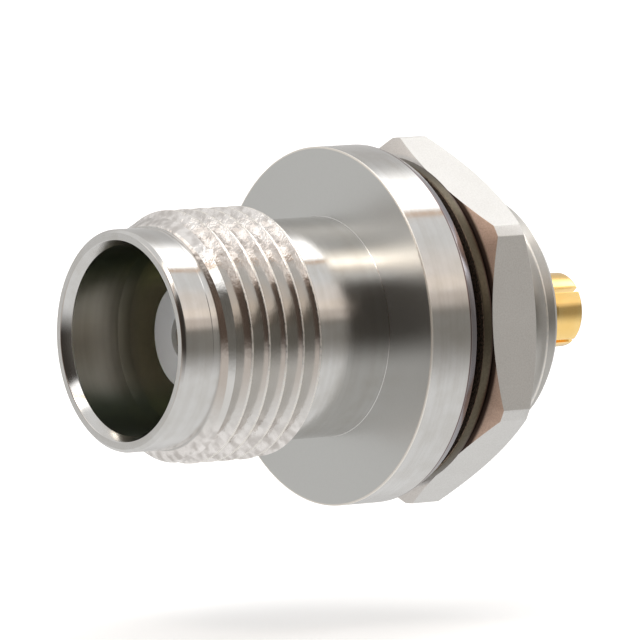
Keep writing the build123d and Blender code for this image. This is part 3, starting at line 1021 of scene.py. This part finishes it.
def make_washer(material):
    """Lock washer with inner teeth."""
    bore_r = THREAD_R + THREAD_CLEARANCE
    rim_r = WASHER_R - WASHER_RIM
    piece = turned("toothed_washer", [
        (bore_r, WASHER_FRONT_Y, BROKEN),
        (WASHER_R, WASHER_FRONT_Y, BLUNT),
        (WASHER_R, WASHER_REAR_Y, SOFT),
        (bore_r, WASHER_REAR_Y, BROKEN),
    ])
    step_deg = 360 / WASHER_TEETH
    notch_width = 2 * rim_r * math.sin(math.radians(step_deg * (1 - WASHER_TOOTH_SHARE) / 2))
    tool = blades(WASHER_TEETH, notch_width, rim_r, WASHER_FRONT_Y - CUT_PAST, WASHER_REAR_Y + CUT_PAST,
                  step_deg / 2)
    combine(piece, tool, "DIFFERENCE")
    finish_piece(piece, "washer", "lock_washer", material)


def hexagon(start_y, end_y):
    """A prism with the nut's flats."""
    half_step = math.pi / NUT_SIDES
    corner_r = NUT_ACROSS_FLATS / 2 / math.cos(half_step)
    points = []
    for y in (start_y, end_y):
        for index in range(NUT_SIDES):
            angle = math.radians(NUT_TURN_DEG) + half_step * (1 + 2 * index)
            points.append((corner_r * math.cos(angle), y, corner_r * math.sin(angle)))
    front = list(range(NUT_SIDES))
    rear = [index + NUT_SIDES for index in front]
    flats = []
    for index in front:
        after = (index + 1) % NUT_SIDES
        flats.append([index, after, after + NUT_SIDES, index + NUT_SIDES])
    prism = new_piece("prism", points, [*flats, front[::-1], rear])
    face_outwards(prism)
    return prism


def make_nut(material):
    """Hexagon milled from a turned blank, with its corners cut round and both faces chamfered."""
    bore_r = THREAD_R + THREAD_CLEARANCE
    chamfer_r = NUT_CORNER_R - NUT_FACE_R
    front_drop = chamfer_r * math.tan(math.radians(NUT_FRONT_CHAMFER_DEG))
    rear_drop = chamfer_r * math.tan(math.radians(NUT_REAR_CHAMFER_DEG))
    piece = turned("panel_nut", [
        (bore_r + NUT_BORE_CHAMFER, NUT_FRONT_Y, CRISP),
        (NUT_FACE_R, NUT_FRONT_Y, SHARP),
        (NUT_CORNER_R, NUT_FRONT_Y + front_drop, SHARP),
        (NUT_CORNER_R, NUT_REAR_Y - rear_drop, SHARP),
        (NUT_FACE_R, NUT_REAR_Y, SHARP),
        (bore_r + NUT_BORE_CHAMFER, NUT_REAR_Y, CRISP),
        (bore_r, NUT_REAR_Y - NUT_BORE_CHAMFER, BROKEN),
        (bore_r, NUT_FRONT_Y + NUT_BORE_CHAMFER, BROKEN),
    ])
    combine(piece, hexagon(NUT_FRONT_Y - CUT_PAST, NUT_REAR_Y + CUT_PAST), "INTERSECT")
    soften(piece)
    finish_piece(piece, "nut", "hex_nut", material)


def overhead(nodes, light, roll, y):
    """The softbox overhead, wider towards the rear, and the warm rim at its lower edge."""
    leaned = nodes.minus(roll, nodes.times(y, SOFTBOX_LEAN))
    high = nodes.ramp(y, *SOFTBOX_WIDENS_Y, *SOFTBOX_HIGH)
    high_edge = nodes.ramp(y, *SOFTBOX_WIDENS_Y, *SOFTBOX_HIGH_EDGE)
    box = nodes.band(leaned, SOFTBOX_LOW, high, SOFTBOX_LOW_EDGE, high_edge)
    rim = nodes.band(leaned, *SOFTBOX_RIM_BAND, SOFTBOX_RIM_EDGE, SOFTBOX_RIM_EDGE)
    light = nodes.mix(box, light, SOFTBOX, "MULTIPLY")
    return nodes.mix(rim, light, SOFTBOX_RIM, "MULTIPLY")


def right_wall(nodes, light, roll, bearing):
    """A warm strip at the right and the brown edge under it."""
    right = nodes.ramp(bearing, *RIGHT_BEARING)
    for limits, edges, colour in ((WARM_STRIP_BAND, WARM_STRIP_EDGES, WARM_STRIP),
                                  (BROWN_EDGE_BAND, BROWN_EDGE_EDGES, BROWN_EDGE)):
        light = nodes.mix(nodes.times(nodes.band(roll, *limits, *edges), right), light, colour, "MULTIPLY")
    return light


def dark_belt(nodes, light, bearing, height):
    """The camera and the dark room behind it, from the front round to the card at the right."""
    top = nodes.plus(nodes.ramp(bearing, *FRONT_ENDS, BELT_TOP_AT_FRONT, BELT_TOP_AT_CAMERA),
                     nodes.ramp(bearing, *CAMERA_TO_RIGHT, 0.0, BELT_TOP_AT_RIGHT - BELT_TOP_AT_CAMERA))
    edge = nodes.ramp(bearing, *BELT_EDGE_NARROWS, *BELT_TOP_EDGE)
    under_top = nodes.fall(nodes.over(nodes.minus(height, top), edge), -1.0, 1.0)
    over_foot = nodes.blend(nodes.fall(bearing, *FRONT_ENDS), nodes.ramp(height, *BELT_FOOT),
                            nodes.ramp(height, *BELT_FOOT_AT_FRONT))
    ends = nodes.times(nodes.ramp(bearing, *BELT_STARTS), nodes.fall(bearing, *BELT_ENDS))
    colour = nodes.mix(nodes.ramp(bearing, *CAMERA_COLOUR_ENDS), BELT_AT_CAMERA, BELT_BETWEEN)
    colour = nodes.mix(nodes.ramp(bearing, *RIGHT_COLOUR_STARTS), colour, BELT_AT_RIGHT)
    colour = nodes.mix(nodes.fall(bearing, *FRONT_COLOUR_ENDS), colour, BELT_AT_FRONT)
    return nodes.mix(nodes.times(nodes.times(under_top, over_foot), ends), light, colour, "MULTIPLY")


def make_world():
    """A white studio with an overhead softbox, and a dark belt at the side where the camera stands."""
    world = bpy.data.worlds.new("studio")
    bpy.context.scene.world = world
    world.use_nodes = True
    nodes = Nodes(world.node_tree)
    direction = nodes.add("ShaderNodeTexCoord").outputs["Generated"]
    x, y, z = nodes.split(direction)
    # Angle round the part's axis, from +X towards +Z, and the two angles of an ordinary horizon
    roll = nodes.math("DEGREES", nodes.math("ARCTAN2", z, x))
    bearing = nodes.math("DEGREES", nodes.math("ARCTAN2", y, x))
    height = nodes.math("DEGREES", nodes.math("ARCSINE", z))

    light = overhead(nodes, WALLS, roll, y)
    for towards, full_deg, gone_deg, colour in PATCHES.values():
        light = nodes.mix(nodes.cap(direction, towards, full_deg, gone_deg), light, colour, "MULTIPLY")
    light = right_wall(nodes, light, roll, bearing)
    light = dark_belt(nodes, light, bearing, height)

    seen = nodes.add("ShaderNodeLightPath").outputs["Is Camera Ray"]
    background = nodes.add("ShaderNodeBackground", Color=nodes.mix(seen, light, PLAIN_WHITE), Strength=1.0)
    nodes.add("ShaderNodeOutputWorld", Surface=background.outputs[0])


def make_floor():
    """A pale floor under the part, which keeps the part's soft shadow."""
    floor_z = cad_low.z / MM - FLOOR_DROP
    half = FLOOR_SPAN / 2
    corners = [(x * half, y * half, floor_z) for x, y in ((-1, -1), (1, -1), (1, 1), (-1, 1))]
    floor = new_piece("floor", corners, [[0, 1, 2, 3]])
    material, nodes = new_material("pale_floor")
    diffuse = nodes.add("ShaderNodeBsdfDiffuse", Color=FLOOR_COLOUR)
    path = nodes.add("ShaderNodeLightPath").outputs
    seen = nodes.math("MAXIMUM", path["Is Camera Ray"], path["Is Glossy Ray"])
    glow = nodes.add("ShaderNodeEmission", Strength=nodes.times(seen, FLOOR_GLOW))
    both = nodes.add("ShaderNodeAddShader", diffuse.outputs[0], glow.outputs[0])
    nodes.add("ShaderNodeOutputMaterial", Surface=both.outputs[0])
    floor.data.materials.append(material)
    floor.visible_glossy = False


def make_camera():
    """The camera that was fitted to the photo."""
    data = bpy.data.cameras.new("camera")
    camera = bpy.data.objects.new("camera", data)
    bpy.context.scene.collection.objects.link(camera)
    data.sensor_width = SENSOR_MM
    data.lens = FOCAL_PIXELS * SENSOR_MM / FRAME_PIXELS
    data.clip_start = CLIP_START
    data.clip_end = CLIP_END
    camera.location = CAMERA_AT
    camera.rotation_mode = "QUATERNION"
    camera.rotation_quaternion = Vector(CAMERA_LOOKS).to_track_quat("-Z", "Y")
    bpy.context.scene.camera = camera


steel = body_metal()
nut_steel = tumbled_metal("tumbled_steel", NUT_LIGHT, NUT_DARK, NUT_SKIN_AND_SHADE,
                          roughness=0.52, grain_size=0.06, grain_height=0.004, joint_shade_r=WASHER_R)
# Washer metal painted dark olive, as painted shade and reflection
shaded_washer_metal = tumbled_metal("shaded_olive_washer", SHADED_WASHER_LIGHT, SHADED_WASHER_DARK, SHADED_WASHER_SKIN,
                       roughness=0.33, grain_size=0.10, grain_height=0.002,
                       joint_shade_y=WASHER_REAR_Y - WASHER_JOINT_SHADE_WIDTH)
socket_gold = turned_metal("worn_gold", WORN_GOLD, WORN_GOLD_STAIN,
                           roughness=0.35, spread=0.03, marks_height=0.0004, anisotropy=0.3)
gold = turned_metal("gold_plate", GOLD, GOLD_STAIN,
                    roughness=0.20, spread=0.03, marks_height=0.0004, anisotropy=0.5)
white = plain_material("white_fluoropolymer", WHITE, WHITE_SHADE,
                       roughness=0.42, grain_size=0.10, grain_height=0.001)
rubber = plain_material("black_rubber", RUBBER, RUBBER_DUST,
                        roughness=0.55, grain_size=0.06, grain_height=0.002)

make_body(steel)
make_front_insulator(white)
make_socket(socket_gold)
make_pin(gold)
make_bush(gold)
make_rear_insulator(white)
make_plug_sleeve(gold)
make_seal(rubber)
make_washer(shaded_washer_metal)
make_nut(nut_steel)

make_world()
make_floor()
make_camera()
bpy.context.scene.view_settings.view_transform = "Standard"
